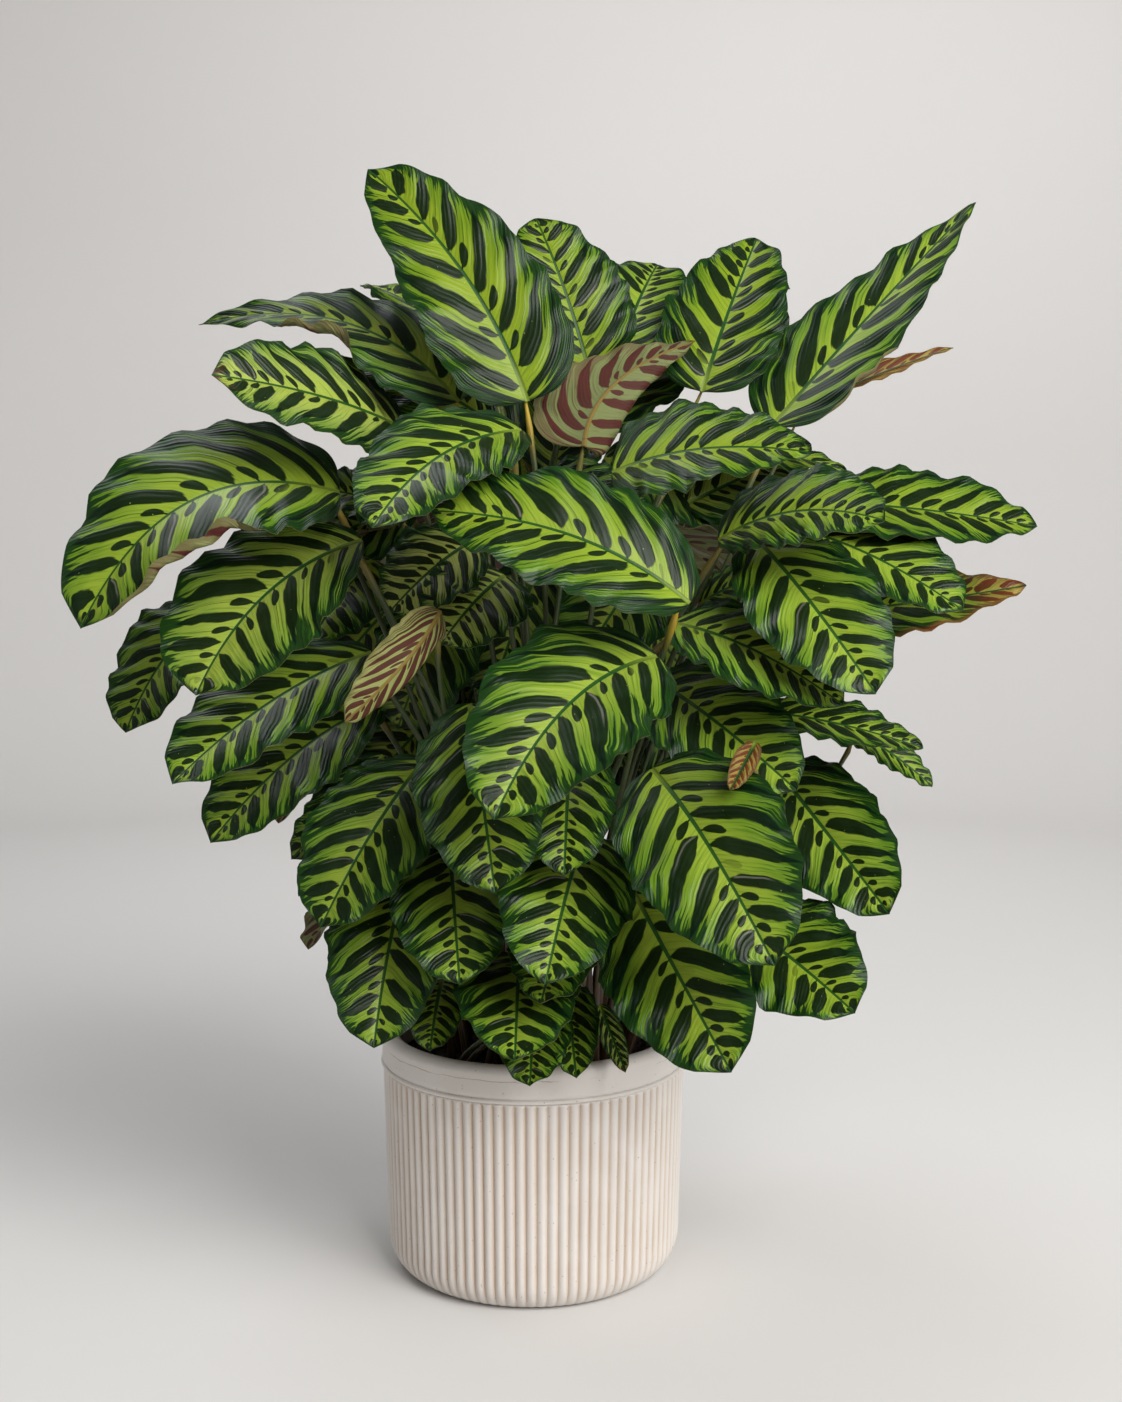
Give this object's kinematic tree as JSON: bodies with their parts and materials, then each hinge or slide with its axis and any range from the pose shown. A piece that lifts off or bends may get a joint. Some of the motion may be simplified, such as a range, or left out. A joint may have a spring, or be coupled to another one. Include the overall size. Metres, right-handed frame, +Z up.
{
  "type": "peacock plant in a pot",
  "caption": "Peacock plant with large patterned leaves on thin stalks, growing in soil in a round ribbed ceramic pot.",
  "frame": {"origin": "centre of the flat underside of the pot", "axes": "+Z up, -Y towards the side that is looked at, +X to the right as seen from there"},
  "size_m": [0.6414, 0.471, 0.7705],
  "materials": {
    "pot": "matte cream glaze",
    "soil": "loose dark potting soil",
    "leaf": "satin leaf"
  },
  "bodies": {
    "root": {"pot": "pot", "soil": "soil", "leaf_back_1": "leaf", "leaf_back_11": "leaf", "leaf_back_13": "leaf", "leaf_back_14": "leaf", "leaf_back_15": "leaf", "leaf_back_16": "leaf", "leaf_back_17": "leaf", "leaf_back_3": "leaf", "leaf_back_5": "leaf", "leaf_back_7": "leaf", "leaf_back_9": "leaf", "leaf_centre_1": "leaf", "leaf_centre_2": "leaf", "leaf_centre_3": "leaf", "leaf_centre_4": "leaf", "leaf_centre_5": "leaf", "leaf_crown_1": "leaf", "leaf_crown_2": "leaf", "leaf_crown_3": "leaf", "leaf_crown_4": "leaf", "leaf_crown_5": "leaf", "leaf_inner_1": "leaf", "leaf_inner_2": "leaf", "leaf_inner_3": "leaf", "leaf_inner_4": "leaf", "leaf_inner_5": "leaf", "leaf_inner_6": "leaf", "leaf_inner_7": "leaf", "leaf_left_1": "leaf", "leaf_left_2": "leaf", "leaf_left_3": "leaf", "leaf_left_4": "leaf", "leaf_left_5": "leaf", "leaf_left_6": "leaf", "leaf_left_7": "leaf", "leaf_low_1": "leaf", "leaf_low_10": "leaf", "leaf_low_11": "leaf", "leaf_low_12": "leaf", "leaf_low_2": "leaf", "leaf_low_3": "leaf", "leaf_low_4": "leaf", "leaf_low_5": "leaf", "leaf_low_6": "leaf", "leaf_low_7": "leaf", "leaf_low_8": "leaf", "leaf_low_9": "leaf", "leaf_right_1": "leaf", "leaf_right_2": "leaf", "leaf_right_3": "leaf", "leaf_right_4": "leaf", "leaf_right_5": "leaf", "leaf_right_6": "leaf", "leaf_right_7": "leaf", "leaf_right_8": "leaf", "leaf_right_9": "leaf"}
  },
  "joints": []
}
